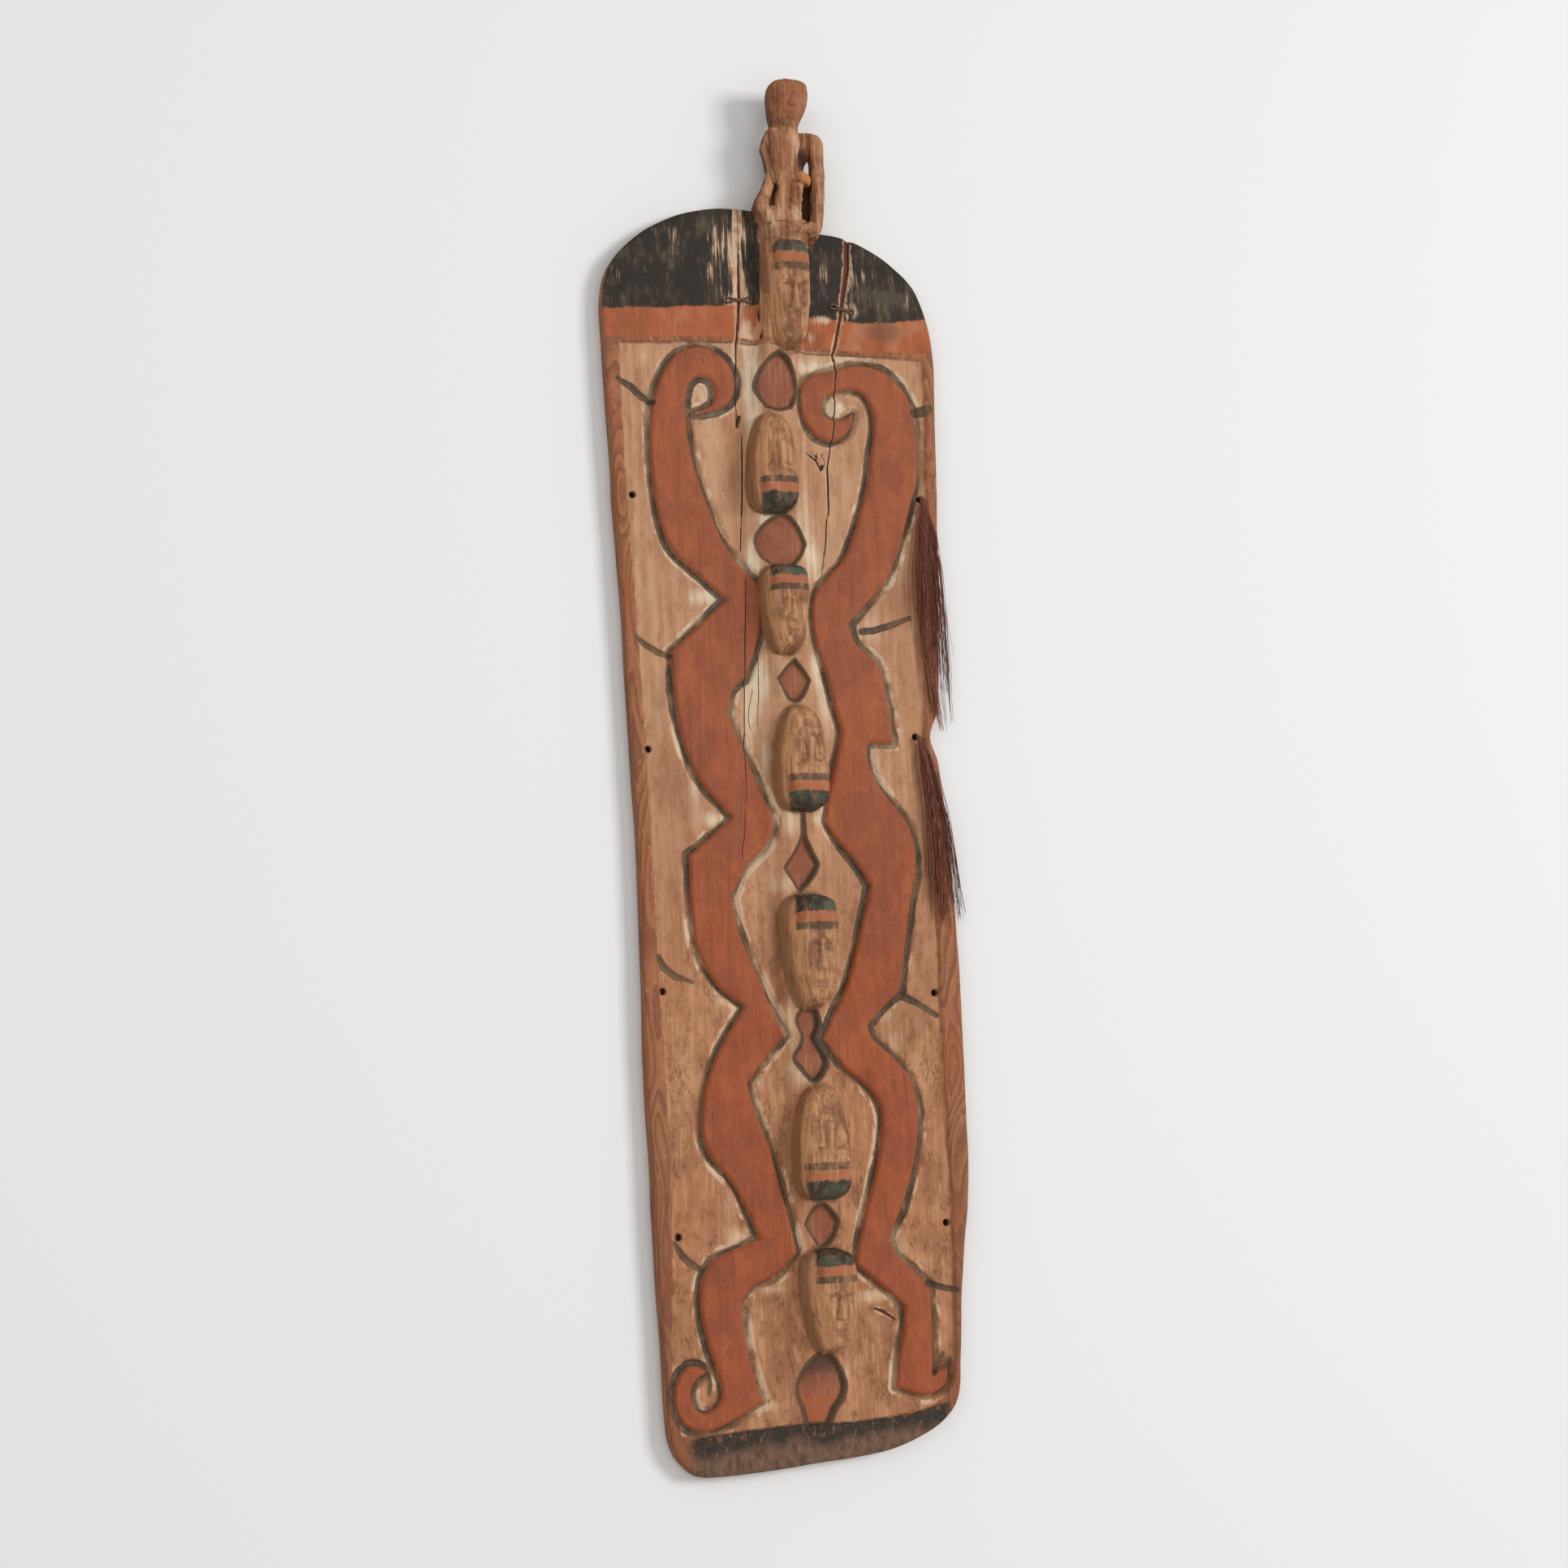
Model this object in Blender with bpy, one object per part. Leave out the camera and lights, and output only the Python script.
"""A carved wooden shield of the Asmat kind, lying on its flat back with its face up.

Metres, +Z up.  The origin is on the flat back, in the middle of the board: +Y runs to the carved
figure at the top end and +X to the right-hand edge as one faces the carving.  The board, its two
ribbons, the ridge of heads and lozenges and the figure are carved from one plank and are one solid.
Two stitches across the cracks and two tassels at the right edge are pieces of their own.
"""
import math

import bmesh
import bpy
from mathutils import Vector

# Levels above the flat back
FIELD_Z = 0.0200          # cut-back ground between the ribbons
FACE_Z = 0.0245           # rim, top band and bottom band
RIBBON_Z = 0.0242         # the ribbons, a shade under the rim
RIDGE_Z = 0.0350          # crest of the low ridge that carries the heads
LOZENGE_Z = 0.0285        # floors of the cut-in lozenges
HEAD_Z = 0.0680           # brow of a carved head
SINK_Z = 0.0100           # where raised carving starts, inside the plank

# Fastenings
HOLE_RADIUS = 0.0042      # lacing holes along both edges
STITCH_RADIUS = 0.0014    # the cord of a repair stitch
STITCH_HOLE_RADIUS = 0.0024
GAP = 0.0004              # clearance between pieces that touch

# Board outline: smooth runs that meet at corners, counter-clockwise from the stem of the figure
BOARD_RUNS = (
    ((0.004, 0.818), (-0.050, 0.819), (-0.092, 0.814), (-0.141, 0.797), (-0.182, 0.770), (-0.214, 0.734),
     (-0.225, 0.690), (-0.226, 0.640), (-0.223, 0.520), (-0.213, 0.246), (-0.207, 0.000), (-0.206, -0.143),
     (-0.208, -0.283), (-0.205, -0.420), (-0.205, -0.480), (-0.201, -0.620), (-0.199, -0.720),
     (-0.194, -0.757), (-0.179, -0.780), (-0.156, -0.792), (-0.079, -0.791), (0.012, -0.785),
     (0.080, -0.779), (0.128, -0.764), (0.163, -0.743), (0.179, -0.716), (0.184, -0.670),
     (0.190, -0.602), (0.198, -0.535), (0.208, -0.452), (0.212, -0.298), (0.212, -0.120),
     (0.206, 0.020), (0.200, 0.085)),
    ((0.200, 0.085), (0.192, 0.108), (0.193, 0.124), (0.205, 0.150)),
    ((0.205, 0.150), (0.213, 0.280), (0.220, 0.430), (0.225, 0.572), (0.225, 0.640), (0.217, 0.690),
     (0.200, 0.730), (0.165, 0.762), (0.125, 0.784), (0.090, 0.793), (0.058, 0.793)),
)

# Cut-back ground between the rim, the top band and the bottom band
FIELD_RUNS = (
    ((-0.205, 0.628), (-0.207, 0.560), (-0.200, 0.330), (-0.193, 0.121), (-0.187, -0.214), (-0.183, -0.413),
     (-0.186, -0.560), (-0.192, -0.680), (-0.182, -0.742)),
    ((-0.182, -0.742), (-0.094, -0.741), (-0.029, -0.739), (0.040, -0.741), (0.109, -0.737),
     (0.148, -0.729)),
    ((0.148, -0.729), (0.168, -0.707), (0.175, -0.660), (0.182, -0.500), (0.182, -0.276), (0.185, -0.100),
     (0.180, 0.060), (0.181, 0.120), (0.190, 0.220), (0.200, 0.380), (0.208, 0.550), (0.209, 0.626)),
    ((0.209, 0.626), (0.120, 0.627), (0.038, 0.631), (-0.048, 0.637), (-0.120, 0.632), (-0.205, 0.628)),
)

# The left ribbon, from the tip of its upper hook down the outer side and back up the inner side
LEFT_RIBBON_RUNS = (
    ((-0.113, 0.537), (-0.090, 0.541), (-0.067, 0.550), (-0.054, 0.570), (-0.055, 0.594), (-0.068, 0.615),
     (-0.094, 0.628), (-0.122, 0.622), (-0.144, 0.600), (-0.160, 0.567), (-0.169, 0.527), (-0.170, 0.463),
     (-0.163, 0.400), (-0.147, 0.355), (-0.112, 0.322), (-0.078, 0.292)),
    ((-0.078, 0.292), (-0.154, 0.223)),
    ((-0.154, 0.223), (-0.153, 0.180), (-0.149, 0.135), (-0.140, 0.094), (-0.122, 0.056), (-0.084, 0.010)),
    ((-0.084, 0.010), (-0.142, -0.037)),
    ((-0.142, -0.037), (-0.142, -0.097), (-0.139, -0.144), (-0.128, -0.176), (-0.108, -0.205),
     (-0.078, -0.228)),
    ((-0.078, -0.228), (-0.103, -0.263), (-0.125, -0.303), (-0.138, -0.345), (-0.140, -0.385),
     (-0.131, -0.412), (-0.108, -0.440), (-0.090, -0.473), (-0.073, -0.514)),
    ((-0.073, -0.514), (-0.101, -0.523), (-0.132, -0.536), (-0.149, -0.560), (-0.152, -0.596),
     (-0.143, -0.640), (-0.131, -0.685), (-0.132, -0.704), (-0.142, -0.714), (-0.155, -0.717),
     (-0.166, -0.708), (-0.169, -0.690), (-0.161, -0.676), (-0.147, -0.669)),
    ((-0.147, -0.669), (-0.158, -0.661), (-0.172, -0.661), (-0.184, -0.673), (-0.190, -0.695),
     (-0.185, -0.720), (-0.168, -0.735), (-0.146, -0.738), (-0.112, -0.726), (-0.077, -0.709)),
    ((-0.077, -0.709), (-0.087, -0.680), (-0.096, -0.640), (-0.100, -0.588)),
    ((-0.100, -0.588), (-0.082, -0.569), (-0.052, -0.557), (-0.028, -0.533)),
    ((-0.028, -0.533), (-0.036, -0.487), (-0.054, -0.405), (-0.072, -0.355), (-0.079, -0.322)),
    ((-0.079, -0.322), (-0.030, -0.265)),
    ((-0.030, -0.265), (-0.046, -0.224), (-0.063, -0.182), (-0.080, -0.138), (-0.089, -0.090)),
    ((-0.089, -0.090), (-0.067, -0.051), (-0.042, -0.026), (-0.032, 0.003), (-0.041, 0.034),
     (-0.068, 0.106), (-0.083, 0.143)),
    ((-0.083, 0.143), (-0.075, 0.176), (-0.057, 0.190)),
    ((-0.057, 0.190), (-0.038, 0.247), (-0.030, 0.307)),
    ((-0.030, 0.307), (-0.050, 0.327), (-0.078, 0.367), (-0.096, 0.412), (-0.112, 0.463), (-0.120, 0.510),
     (-0.121, 0.550), (-0.115, 0.577), (-0.101, 0.588), (-0.086, 0.582), (-0.081, 0.566),
     (-0.085, 0.551), (-0.097, 0.544), (-0.113, 0.537)),
)

# The right ribbon, from the tip of its upper hook round the hook and down the outer side
RIGHT_RIBBON_RUNS = (
    ((0.108, 0.548), (0.104, 0.530), (0.092, 0.515), (0.075, 0.508), (0.055, 0.515), (0.040, 0.533),
     (0.035, 0.558), (0.040, 0.583), (0.055, 0.597), (0.080, 0.605), (0.110, 0.613), (0.137, 0.613),
     (0.160, 0.604), (0.180, 0.584), (0.192, 0.555), (0.196, 0.510), (0.193, 0.461), (0.183, 0.430),
     (0.173, 0.398), (0.161, 0.362), (0.141, 0.322), (0.110, 0.289), (0.086, 0.264)),
    ((0.086, 0.264), (0.096, 0.237), (0.118, 0.217), (0.130, 0.193), (0.135, 0.150), (0.140, 0.108)),
    ((0.140, 0.108), (0.104, 0.106)),
    ((0.104, 0.106), (0.103, 0.087), (0.111, 0.060), (0.130, 0.031), (0.152, 0.003), (0.161, -0.030),
     (0.160, -0.060), (0.151, -0.100), (0.141, -0.150), (0.129, -0.214)),
    ((0.129, -0.214), (0.103, -0.236), (0.083, -0.256)),
    ((0.083, -0.256), (0.090, -0.274), (0.111, -0.294), (0.133, -0.318), (0.144, -0.350), (0.144, -0.385),
     (0.137, -0.425), (0.121, -0.472), (0.096, -0.524)),
    ((0.096, -0.524), (0.110, -0.548), (0.130, -0.566), (0.147, -0.584)),
    ((0.147, -0.584), (0.148, -0.625), (0.145, -0.690)),
    ((0.145, -0.690), (0.166, -0.684)),
    ((0.166, -0.684), (0.165, -0.698), (0.154, -0.711), (0.130, -0.716), (0.096, -0.704)),
    ((0.096, -0.704), (0.101, -0.668), (0.109, -0.638), (0.112, -0.606)),
    ((0.112, -0.606), (0.083, -0.579), (0.050, -0.551)),
    ((0.050, -0.551), (0.059, -0.515), (0.070, -0.480), (0.084, -0.438), (0.093, -0.395), (0.095, -0.363),
     (0.081, -0.336), (0.049, -0.308), (0.018, -0.272)),
    ((0.018, -0.272), (0.034, -0.244), (0.056, -0.208), (0.070, -0.168), (0.084, -0.122), (0.097, -0.078)),
    ((0.097, -0.078), (0.080, -0.050), (0.055, -0.019), (0.038, 0.005)),
    ((0.038, 0.005), (0.046, 0.040), (0.059, 0.083), (0.069, 0.122)),
    ((0.069, 0.122), (0.060, 0.158), (0.052, 0.195), (0.042, 0.228), (0.036, 0.260), (0.037, 0.288),
     (0.046, 0.309), (0.064, 0.328), (0.084, 0.350), (0.103, 0.392), (0.120, 0.443), (0.131, 0.495),
     (0.136, 0.530), (0.133, 0.557), (0.122, 0.576), (0.104, 0.581), (0.085, 0.576), (0.070, 0.568),
     (0.065, 0.555), (0.069, 0.543), (0.082, 0.537), (0.097, 0.540), (0.108, 0.548)),
)

# Lacing holes, from the top end down each edge
LEFT_HOLES = ((-0.196, 0.427), (-0.189, 0.098), (-0.183, -0.206), (-0.176, -0.506))
RIGHT_HOLES = ((0.196, 0.435), (0.171, 0.116), (0.177, -0.217), (0.175, -0.507))

# Heads: centre line x, crown y, chin y (a chin above the crown is a head upside down), width and
# how far the front stands to the right of the foot
HEADS = (
    (0.020, 0.778, 0.617, 0.064, 0.002),
    (-0.013, 0.402, 0.540, 0.064, 0.005),
    (-0.006, 0.338, 0.216, 0.064, 0.004),
    (0.006, 0.014, 0.156, 0.070, 0.005),
    (0.003, -0.087, -0.238, 0.068, 0.010),
    (0.010, -0.472, -0.326, 0.076, 0.001),
    (0.006, -0.527, -0.659, 0.066, 0.009),
)

# Shape of a head from crown to chin: fraction of its length, half width and height factors
HEAD_STATIONS = (
    (0.00, 0.50, 0.10),
    (0.03, 0.74, 0.72),
    (0.12, 0.92, 0.97),
    (0.24, 1.00, 1.00),
    (0.38, 1.00, 0.98),
    (0.43, 0.98, 0.86),
    (0.66, 0.86, 0.86),
    (0.76, 0.79, 0.82),
    (0.86, 0.70, 0.76),
    (0.95, 0.55, 0.42),
    (1.00, 0.42, 0.08),
)

# Nose: fraction of the head's length, half width as a share of the head's, height factor
NOSE_STATIONS = ((0.40, 0.14, 0.90), (0.54, 0.20, 0.98), (0.64, 0.32, 1.05), (0.67, 0.28, 0.86))

# Sunk lozenges on the ridge, from the top end down: each an outline of runs that meet at corners
LOZENGES = (
    (((0.004, 0.623), (0.016, 0.612), (0.026, 0.592), (0.029, 0.572), (0.024, 0.558), (0.018, 0.547)),
     ((0.018, 0.547), (0.001, 0.543), (-0.016, 0.547)),
     ((-0.016, 0.547), (-0.024, 0.560), (-0.029, 0.576), (-0.022, 0.597), (-0.010, 0.613), (0.004, 0.623))),
    (((-0.014, 0.400), (-0.002, 0.404), (0.008, 0.402), (0.022, 0.388), (0.032, 0.368)),
     ((0.032, 0.368), (0.025, 0.352), (0.012, 0.337)),
     ((0.012, 0.337), (-0.002, 0.332), (-0.016, 0.336)),
     ((-0.016, 0.336), (-0.030, 0.346), (-0.038, 0.367), (-0.030, 0.387), (-0.014, 0.400))),
    (((0.006, 0.214), (0.017, 0.201), (0.027, 0.187)),
     ((0.027, 0.187), (0.019, 0.171), (0.010, 0.160), (0.003, 0.158), (-0.004, 0.162)),
     ((-0.004, 0.162), (-0.010, 0.173), (-0.017, 0.188)),
     ((-0.017, 0.188), (-0.006, 0.203), (0.006, 0.214))),
    (((0.0075, 0.014), (0.009, -0.014), (0.015, -0.031), (0.025, -0.051)),
     ((0.025, -0.051), (0.015, -0.068), (-0.003, -0.087)),
     ((-0.003, -0.087), (-0.012, -0.071), (-0.021, -0.055)),
     ((-0.021, -0.055), (-0.007, -0.034), (0.003, -0.014), (0.0045, 0.014)),
     ((0.0045, 0.014), (0.0075, 0.014))),
    (((0.003, -0.229), (0.010, -0.234), (0.014, -0.247), (0.013, -0.259), (0.008, -0.268), (0.012, -0.277),
      (0.019, -0.289), (0.023, -0.301), (0.017, -0.313), (0.005, -0.325), (-0.006, -0.316),
      (-0.015, -0.304), (-0.021, -0.293), (-0.013, -0.280), (-0.009, -0.268), (-0.013, -0.257),
      (-0.015, -0.245), (-0.008, -0.233), (0.003, -0.229)),),
    (((0.009, -0.474), (0.019, -0.484), (0.028, -0.497)),
     ((0.028, -0.497), (0.021, -0.514), (0.012, -0.524), (0.001, -0.529), (-0.008, -0.515), (-0.017, -0.499)),
     ((-0.017, -0.499), (-0.010, -0.485), (0.000, -0.476), (0.009, -0.474))),
    (((-0.004, -0.654), (0.009, -0.658), (0.019, -0.671), (0.027, -0.694), (0.023, -0.711), (0.012, -0.725),
      (0.005, -0.742)),
     ((0.005, -0.742), (-0.023, -0.742)),
     ((-0.023, -0.742), (-0.027, -0.722), (-0.034, -0.702), (-0.031, -0.684), (-0.019, -0.666),
      (-0.004, -0.654))),
)

# The low ridge down the middle: y, centre x, half width, crest height
RIDGE_STATIONS = (
    (0.800, 0.024, 0.032, 0.054),
    (0.700, 0.020, 0.030, 0.050),
    (0.640, 0.012, 0.034, 0.042),
    (0.590, 0.000, 0.044, 0.038),
    (0.400, -0.006, 0.050, RIDGE_Z),
    (0.190, 0.000, 0.048, RIDGE_Z),
    (-0.050, 0.002, 0.048, RIDGE_Z),
    (-0.300, 0.002, 0.042, RIDGE_Z),
    (-0.500, 0.006, 0.050, RIDGE_Z),
    (-0.650, 0.002, 0.052, 0.034),
    (-0.738, 0.000, 0.040, 0.027),
)

# Figure at the top end.  Each station of a part: y, centre x, half width, centre z, half depth and,
# where the ring slants, how far it rises for each metre across
FIGURE = {
    "head": ((0.924, 0.0240, 0.0160, 0.045, 0.018), (0.931, 0.0240, 0.0185, 0.046, 0.021),
             (0.940, 0.0255, 0.0220, 0.047, 0.023), (0.952, 0.0275, 0.0256, 0.047, 0.024),
             (0.966, 0.0290, 0.0275, 0.046, 0.025), (0.977, 0.0295, 0.0272, 0.046, 0.025),
             (0.985, 0.0295, 0.0242, 0.045, 0.023), (0.989, 0.0295, 0.0190, 0.045, 0.018)),
    "trunk": ((0.930, 0.023, 0.018, 0.045, 0.018), (0.919, 0.024, 0.018, 0.043, 0.017),
              (0.905, 0.029, 0.015, 0.042, 0.017), (0.886, 0.027, 0.013, 0.042, 0.017),
              (0.866, 0.022, 0.011, 0.042, 0.017), (0.850, 0.019, 0.009, 0.042, 0.017),
              (0.836, 0.016, 0.009, 0.042, 0.017), (0.815, 0.013, 0.010, 0.041, 0.018),
              (0.795, 0.013, 0.013, 0.040, 0.020)),
    "left_upper_arm": ((0.921, 0.005, 0.005, 0.052, 0.008), (0.912, 0.009, 0.010, 0.054, 0.011),
                       (0.899, 0.012, 0.0125, 0.056, 0.012), (0.885, 0.0125, 0.0125, 0.056, 0.012),
                       (0.870, 0.0115, 0.0100, 0.055, 0.011), (0.855, 0.0120, 0.0068, 0.053, 0.010),
                       (0.842, 0.0165, 0.0078, 0.051, 0.010), (0.828, 0.0150, 0.0085, 0.048, 0.012),
                       (0.810, 0.0110, 0.0090, 0.046, 0.014), (0.794, 0.0080, 0.0100, 0.044, 0.016)),
    "left_forearm": ((0.924, 0.0050, 0.0042, 0.042, 0.008), (0.910, 0.0005, 0.0056, 0.041, 0.009),
                     (0.897, -0.0028, 0.0058, 0.041, 0.009), (0.886, -0.0010, 0.0050, 0.041, 0.009),
                     (0.872, 0.0012, 0.0046, 0.041, 0.009), (0.858, 0.0022, 0.0046, 0.042, 0.010),
                     (0.848, 0.0020, 0.0052, 0.042, 0.010)),
    "left_leg": ((0.862, 0.001, 0.0042, 0.042, 0.010), (0.847, -0.0020, 0.0064, 0.042, 0.012),
                 (0.836, -0.0060, 0.0075, 0.042, 0.014), (0.824, -0.0110, 0.0092, 0.041, 0.016),
                 (0.813, -0.0120, 0.0105, 0.040, 0.017), (0.804, -0.0060, 0.0110, 0.039, 0.018),
                 (0.792, -0.0020, 0.0070, 0.037, 0.018)),
    "right_arm": ((0.921, 0.062, 0.009, 0.039, 0.011), (0.914, 0.066, 0.0100, 0.040, 0.013),
                  (0.903, 0.0675, 0.0095, 0.041, 0.014), (0.888, 0.0675, 0.0090, 0.042, 0.014),
                  (0.865, 0.0672, 0.0090, 0.042, 0.014), (0.845, 0.0670, 0.0092, 0.042, 0.014),
                  (0.822, 0.0655, 0.0086, 0.042, 0.014), (0.802, 0.0630, 0.0078, 0.041, 0.014),
                  (0.786, 0.0595, 0.0078, 0.040, 0.015), (0.776, 0.0560, 0.0070, 0.038, 0.015)),
    "right_shoulder": ((0.923, 0.052, 0.014, 0.035, 0.010), (0.914, 0.056, 0.016, 0.034, 0.011),
                       (0.903, 0.054, 0.015, 0.032, 0.011), (0.893, 0.049, 0.012, 0.030, 0.010),
                       (0.882, 0.045, 0.009, 0.030, 0.009), (0.866, 0.044, 0.007, 0.030, 0.008)),
    "peg": ((0.8645, 0.040, 0.0130, 0.051, 0.0060, -0.25), (0.8610, 0.040, 0.0145, 0.051, 0.0085, -0.25),
            (0.8530, 0.040, 0.0145, 0.051, 0.0085, -0.25), (0.8495, 0.040, 0.0130, 0.051, 0.0060, -0.25)),
    "right_thigh": ((0.853, 0.037, 0.0088, 0.042, 0.012), (0.840, 0.036, 0.0100, 0.042, 0.013),
                    (0.819, 0.0325, 0.0098, 0.042, 0.014), (0.800, 0.0305, 0.0110, 0.042, 0.016),
                    (0.786, 0.0290, 0.0130, 0.041, 0.018)),
    "right_web": ((0.862, 0.047, 0.019, 0.019, 0.007), (0.835, 0.047, 0.020, 0.019, 0.008),
                  (0.785, 0.044, 0.020, 0.019, 0.010)),
    "left_web": ((0.848, 0.004, 0.006, 0.028, 0.009), (0.812, 0.000, 0.012, 0.028, 0.010)),
    "foot_bar": ((0.792, 0.038, 0.024, 0.050, 0.007, 0.20), (0.785, 0.038, 0.026, 0.052, 0.009, 0.20),
                 (0.778, 0.037, 0.024, 0.050, 0.007, 0.18)),
    "block": ((0.800, 0.022, 0.029, 0.033, 0.018), (0.786, 0.023, 0.032, 0.034, 0.024),
              (0.770, 0.021, 0.030, 0.032, 0.025), (0.742, 0.020, 0.029, 0.030, 0.025)),
}

# Cracks open at the top edge: centre line points and the full width at each
LEFT_CRACK = ((-0.039, 0.850, 0.0030), (-0.042, 0.770, 0.0035), (-0.044, 0.700, 0.0050),
              (-0.050, 0.640, 0.0036), (-0.051, 0.600, 0.0012))
RIGHT_CRACK = ((0.111, 0.830, 0.0090), (0.108, 0.760, 0.0080), (0.104, 0.695, 0.0060),
               (0.096, 0.668, 0.0044), (0.087, 0.634, 0.0036), (0.086, 0.600, 0.0012))

# Stitches across the cracks: left foot and right foot
STITCHES = {
    "left_crack_tie": ((-0.060, 0.692), (-0.027, 0.694)),
    "right_crack_tie": ((0.084, 0.692), (0.115, 0.686)),
}

# Tassels: y, centre x, half width, half depth along each, from the hole to the free end
TASSELS = {
    "upper_tassel": (
        (0.442, 0.1985, 0.0040, 0.0030), (0.426, 0.1985, 0.0060, 0.0040), (0.394, 0.1970, 0.0130, 0.0050),
        (0.340, 0.1975, 0.0220, 0.0060), (0.275, 0.1990, 0.0230, 0.0060), (0.228, 0.2000, 0.0210, 0.0055),
        (0.166, 0.2050, 0.0160, 0.0045), (0.118, 0.2095, 0.0090, 0.0030)),
    "lower_tassel": (
        (0.121, 0.1740, 0.0040, 0.0030), (0.104, 0.1760, 0.0055, 0.0040), (0.080, 0.1790, 0.0100, 0.0045),
        (0.043, 0.1850, 0.0125, 0.0055), (0.005, 0.1900, 0.0160, 0.0060), (-0.063, 0.1950, 0.0210, 0.0060),
        (-0.110, 0.1975, 0.0250, 0.0050), (-0.138, 0.1990, 0.0250, 0.0030)),
}

FINISHES = {
    "old_carved_wood": ((0.33, 0.17, 0.09), 0.75),
    "rattan_stitch": ((0.10, 0.05, 0.03), 0.80),
    "plant_fibre": ((0.09, 0.03, 0.02), 0.70),
}


def clear_scene():
    """Remove whatever the file opened with."""
    for old in list(bpy.data.objects):
        bpy.data.objects.remove(old, do_unlink=True)


def finish(name):
    """A plain Principled material from FINISHES."""
    colour, roughness = FINISHES[name]
    material = bpy.data.materials.new(name)
    material.use_nodes = True
    shader = material.node_tree.nodes["Principled BSDF"]
    shader.inputs["Base Color"].default_value = (*colour, 1.0)
    shader.inputs["Roughness"].default_value = roughness
    shader.inputs["Metallic"].default_value = 0.0
    return material


def add_object(name, shape, cutter=False):
    """Put a bmesh into the scene under a name; a cutter is only a guide."""
    bmesh.ops.recalc_face_normals(shape, faces=shape.faces)
    mesh = bpy.data.meshes.new(name)
    shape.to_mesh(mesh)
    shape.free()
    thing = bpy.data.objects.new(name, mesh)
    bpy.context.scene.collection.objects.link(thing)
    if cutter:
        thing.hide_render = True
        thing.display_type = "WIRE"
    return thing


def curve_through(points, step):
    """Points of a smooth curve through the given ones, without the last, about a step apart."""
    ends = [2 * Vector(points[0]) - Vector(points[1])]
    ends += [Vector(p) for p in points]
    ends.append(2 * Vector(points[-1]) - Vector(points[-2]))
    out = []
    for before, start, end, after in zip(ends, ends[1:], ends[2:], ends[3:]):
        parts = max(1, round((end - start).length / step))
        for k in range(parts):
            t = k / parts
            out.append(0.5 * (2 * start + (end - before) * t
                              + (2 * before - 5 * start + 4 * end - after) * t ** 2
                              + (3 * start - before - 3 * end + after) * t ** 3))
    return out


def outline(runs, step):
    """The closed outline of smooth runs that meet at corners."""
    points = []
    for run in runs:
        if len(run) == 2:
            points.append(Vector(run[0]))
        else:
            points.extend(curve_through(run, step))
    return points


def prism(points, low, high):
    """A closed prism over an outline, between two levels."""
    shape = bmesh.new()
    face = shape.faces.new([shape.verts.new((p[0], p[1], low)) for p in points])
    grown = bmesh.ops.extrude_face_region(shape, geom=[face])
    tops = [v for v in grown["geom"] if isinstance(v, bmesh.types.BMVert)]
    bmesh.ops.translate(shape, verts=tops, vec=(0, 0, high - low))
    return shape


def loft(rings):
    """A closed body through rings of points that all have the same count."""
    shape = bmesh.new()
    loops = [[shape.verts.new(p) for p in ring] for ring in rings]
    count = len(loops[0])
    for here, there in zip(loops, loops[1:]):
        for k in range(count):
            shape.faces.new((here[k], here[(k + 1) % count], there[(k + 1) % count], there[k]))
    shape.faces.new(loops[0])
    shape.faces.new(list(reversed(loops[-1])))
    return shape


def oval_ring(y, centre_x, half_width, centre_z, half_depth, slant=0.0, count=10, squareness=2.6):
    """A rounded-square ring across the length, at one y or slanting from it."""
    ring = []
    for k in range(count):
        angle = 2 * math.pi * (k + 0.5) / count
        c, s = math.cos(angle), math.sin(angle)
        away = half_width * math.copysign(abs(c) ** (2 / squareness), c)
        ring.append((centre_x + away, y + slant * away,
                     centre_z + half_depth * math.copysign(abs(s) ** (2 / squareness), s)))
    return ring


def limb(stations, count=10):
    """A rounded body through the stations of one part of the figure."""
    return loft([oval_ring(*station, count=count) for station in stations])


def dome_ring(y, centre_x, half_width, crest, shoulder=0.82, lean=0.0):
    """A low arch across the length: it starts inside the plank and crowns at crest, lean to the right."""
    rise = crest - FIELD_Z
    across = ((-1.15, SINK_Z), (-1.10, FIELD_Z), (-1.0, FIELD_Z + 0.55 * rise),
              (-shoulder, FIELD_Z + 0.93 * rise), (0.0, crest), (shoulder, FIELD_Z + 0.93 * rise),
              (1.0, FIELD_Z + 0.55 * rise), (1.10, FIELD_Z), (1.15, SINK_Z))
    return [(centre_x + share * half_width + lean * max(0.0, (z - FIELD_Z) / rise), y, z)
            for share, z in across]


def head_point(head, along):
    """The y of a point at a fraction of a head's length from its crown."""
    _, crown, chin, _, _ = head
    return crown + (chin - crown) * along


def head_bodies(index, head):
    """The block of one head and its nose."""
    centre, _, _, width, lean = head
    rise = HEAD_Z - FIELD_Z
    block = loft([dome_ring(head_point(head, along), centre, 0.5 * width * wide, FIELD_Z + rise * high,
                            lean=lean)
                  for along, wide, high in HEAD_STATIONS])
    nose = loft([[(centre + lean + side * 0.5 * width * wide, head_point(head, along), z)
                  for side, z in ((-1, FIELD_Z + 0.5 * rise), (-1, FIELD_Z + rise * (high - 0.12)),
                                  (0, FIELD_Z + rise * high), (1, FIELD_Z + rise * (high - 0.12)),
                                  (1, FIELD_Z + 0.5 * rise))]
                 for along, wide, high in NOSE_STATIONS])
    return [add_object(f"carve_head_{index}", block, cutter=True),
            add_object(f"carve_nose_{index}", nose, cutter=True)]


def ridge_body():
    """The low ridge that carries heads and lozenges."""
    rings = [[(x, y, z) for x, y, z in dome_ring(y, centre, half, crest, shoulder=0.6)]
             for y, centre, half, crest in RIDGE_STATIONS]
    return loft(rings)


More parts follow.
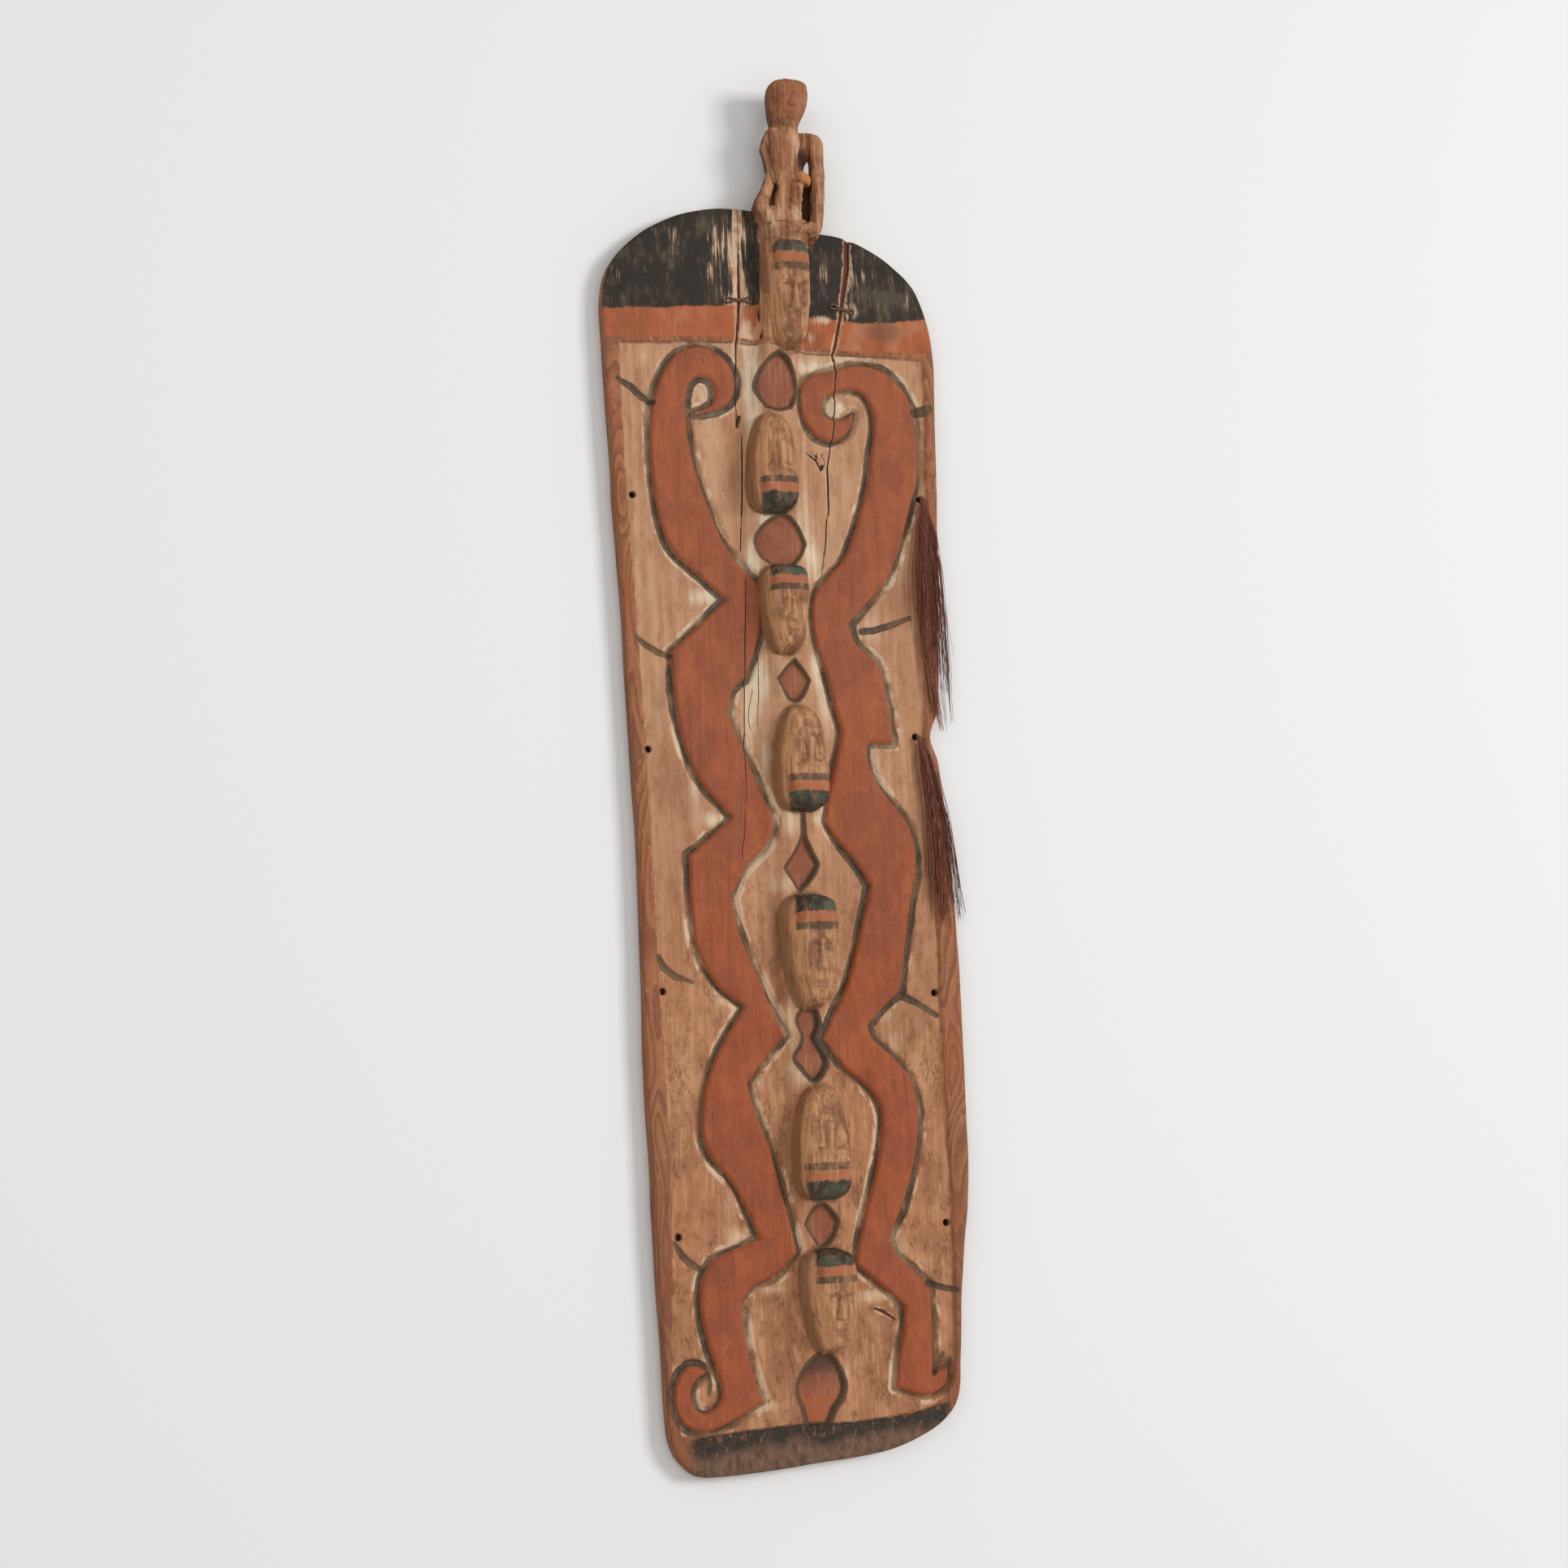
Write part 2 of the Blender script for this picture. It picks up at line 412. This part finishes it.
def wedge_cut(points):
    """A crack: a thin upright cutter that tapers along its centre line."""
    sides = [(x - 0.5 * width, y) for x, y, width in points]
    sides += [(x + 0.5 * width, y) for x, y, width in reversed(points)]
    return prism(sides, -0.010, 0.090)


def round_cut(x, y, radius, segments=10):
    """An upright round cutter through the plank."""
    shape = bmesh.new()
    bmesh.ops.create_cone(shape, cap_ends=True, segments=segments, radius1=radius, radius2=radius,
                          depth=0.12)
    bmesh.ops.translate(shape, verts=shape.verts, vec=(x, y, 0.03))
    return shape


def collect(name, things):
    """Gather cutters or raised bodies in a collection of their own."""
    group = bpy.data.collections.new(name)
    bpy.context.scene.collection.children.link(group)
    for thing in things:
        bpy.context.scene.collection.objects.unlink(thing)
        group.objects.link(thing)
    return group


def boolean(thing, name, operation, group):
    """Add one exact Boolean with a collection of operands."""
    step = thing.modifiers.new(name, "BOOLEAN")
    step.operation = operation
    step.operand_type = "COLLECTION"
    step.collection = group
    step.solver = "EXACT"


def build_shield():
    """The one carved solid: plank, ribbons, ridge, heads, lozenges and figure."""
    shield = add_object("shield", prism(outline(BOARD_RUNS, 0.030), 0.0, FACE_Z))
    ground = add_object("cut_ground", prism(outline(FIELD_RUNS, 0.050), FIELD_Z, 0.050), cutter=True)
    boolean(shield, "ground", "DIFFERENCE", collect("ground", [ground]))

    raised = [add_object("carve_ridge", ridge_body(), cutter=True)]
    for name, runs in (("left", LEFT_RIBBON_RUNS), ("right", RIGHT_RIBBON_RUNS)):
        raised.append(add_object(f"carve_{name}_ribbon", prism(outline(runs, 0.016), SINK_Z, RIBBON_Z),
                                 cutter=True))
    boolean(shield, "raised", "UNION", collect("raised", raised))
    sunk = [add_object(f"cut_lozenge_{index}", prism(outline(runs, 0.012), LOZENGE_Z, HEAD_Z), cutter=True)
            for index, runs in enumerate(LOZENGES, 1)]
    boolean(shield, "sunk", "DIFFERENCE", collect("sunk", sunk))

    carved = []
    for index, head in enumerate(HEADS, 1):
        carved += head_bodies(index, head)
    for name, stations in FIGURE.items():
        carved.append(add_object(f"carve_{name}", limb(stations), cutter=True))
    boolean(shield, "carved", "UNION", collect("carved", carved))

    cuts = [add_object("cut_left_crack", wedge_cut(LEFT_CRACK), cutter=True),
            add_object("cut_right_crack", wedge_cut(RIGHT_CRACK), cutter=True)]
    for index, (x, y) in enumerate(LEFT_HOLES + RIGHT_HOLES, 1):
        cuts.append(add_object(f"cut_hole_{index}", round_cut(x, y, HOLE_RADIUS), cutter=True))
    for name, feet in STITCHES.items():
        for side, (x, y) in zip(("left", "right"), feet):
            cuts.append(add_object(f"cut_{name}_{side}", round_cut(x, y, STITCH_HOLE_RADIUS, 8),
                                   cutter=True))
    boolean(shield, "cuts", "DIFFERENCE", collect("cuts", cuts))
    return shield


def build_stitch(name, feet):
    """A staple of cord: a bar over the crack with a leg down each hole."""
    (x0, y0), (x1, y1) = feet
    top = FACE_Z + GAP + STITCH_RADIUS
    spline_points = [(x0, y0, 0.0040), (x0, y0, top - 0.0012), (x0 + 0.0016, y0, top),
                     (0.5 * (x0 + x1), 0.5 * (y0 + y1), top + 0.0006),
                     (x1 - 0.0016, y1, top), (x1, y1, top - 0.0012), (x1, y1, 0.0040)]
    curve = bpy.data.curves.new(name, "CURVE")
    curve.dimensions = "3D"
    curve.bevel_depth = STITCH_RADIUS
    curve.bevel_resolution = 1
    curve.use_fill_caps = True
    spline = curve.splines.new("POLY")
    spline.points.add(len(spline_points) - 1)
    for point, place in zip(spline.points, spline_points):
        point.co = (*place, 1.0)
    thing = bpy.data.objects.new(name, curve)
    bpy.context.scene.collection.objects.link(thing)
    return thing


def build_tassel(name, stations):
    """The plain outer form of a bundle of fibres that lies on the rim."""
    rest = FACE_Z + GAP
    rings = [oval_ring(y, x, half_width, rest + half_depth, half_depth, count=8)
             for y, x, half_width, half_depth in stations]
    return add_object(name, loft(rings))


def main():
    """Model the four kinds of piece and give each its finish."""
    clear_scene()
    pieces = [(build_shield(), "old_carved_wood")]
    pieces += [(build_stitch(name, feet), "rattan_stitch") for name, feet in STITCHES.items()]
    pieces += [(build_tassel(name, stations), "plant_fibre") for name, stations in TASSELS.items()]
    finishes = {name: finish(name) for name in FINISHES}
    for thing, name in pieces:
        thing.data.materials.append(finishes[name])


main()
